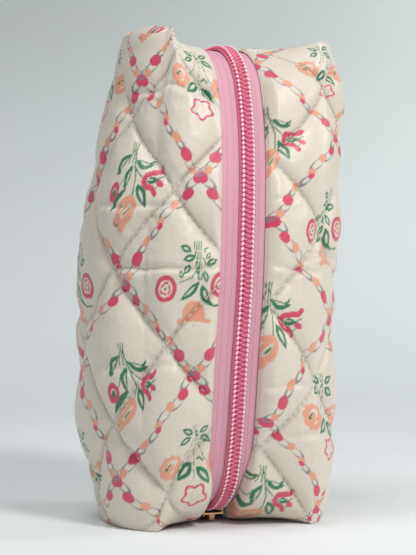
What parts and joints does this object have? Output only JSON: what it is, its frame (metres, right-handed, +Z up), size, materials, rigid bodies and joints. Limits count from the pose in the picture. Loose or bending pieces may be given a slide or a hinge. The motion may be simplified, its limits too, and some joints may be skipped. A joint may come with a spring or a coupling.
{
  "type": "quilted zip makeup bag",
  "caption": "Soft quilted floral satin makeup bag, box shaped, standing on one end, closed by a pink coil zip up its front",
  "frame": {"origin": "middle of the bag's outline at the height of the surface it stands on, under the bottom end", "axes": "+Z up along the zip from the bottom end to the top end, -Y out of the zipped front, +X to the right of someone facing the front"},
  "size_m": [0.1, 0.0904, 0.2],
  "materials": {
    "satin": "satin",
    "wadding": "matte",
    "lining": "matte",
    "zip_tape": "matte",
    "zip_coil": "satin",
    "binding": "matte",
    "slider_metal": "polished"
  },
  "bodies": {
    "bag": {"satin_body": "satin", "wadding_body": "wadding", "lining_body": "lining", "zip_tape_left_top_end": "zip_tape", "zip_coil_left_top_end": "zip_coil", "zip_tape_left_bottom_end": "zip_tape", "zip_coil_left_bottom_end": "zip_coil", "zip_tape_right_top_end": "zip_tape", "zip_coil_right_top_end": "zip_coil", "zip_tape_right_bottom_end": "zip_tape", "zip_coil_right_bottom_end": "zip_coil", "end_seam_binding_bottom": "binding", "corner_seam_binding_bottom_left": "binding", "corner_seam_binding_bottom_right": "binding", "end_seam_binding_top": "binding", "corner_seam_binding_top_left": "binding", "corner_seam_binding_top_right": "binding"},
    "left_panel": {"satin_front_left": "satin", "wadding_front_left": "wadding", "lining_front_left": "lining", "zip_tape_left_front": "zip_tape", "zip_coil_left_front": "zip_coil"},
    "right_panel": {"satin_front_right": "satin", "wadding_front_right": "wadding", "lining_front_right": "lining", "zip_tape_right_front": "zip_tape", "zip_coil_right_front": "zip_coil"},
    "slider": {"slider_body": "slider_metal"},
    "pull": {"pull_tab": "slider_metal"}
  },
  "joints": [
    {"name": "mouth_left", "type": "hinge", "parent": "bag", "child": "left_panel", "pos_m": [-0.0356, -0.032, 0.1], "axis": [0, 0, 1], "range_deg": [-40, 0]},
    {"name": "mouth_right", "type": "hinge", "parent": "bag", "child": "right_panel", "pos_m": [0.0356, -0.032, 0.1], "axis": [0, 0, -1], "range_deg": [-40, 0]},
    {"name": "slider_travel", "type": "hinge", "parent": "bag", "child": "slider", "pos_m": [0, -0.00072, 0.0346], "axis": [-1, 0, 0], "range_deg": [0, 67]},
    {"name": "pull_swing", "type": "hinge", "parent": "slider", "child": "pull", "pos_m": [0, -0.00072, 0.0021], "axis": [-1, 0, 0], "range_deg": [0, 170]}
  ]
}
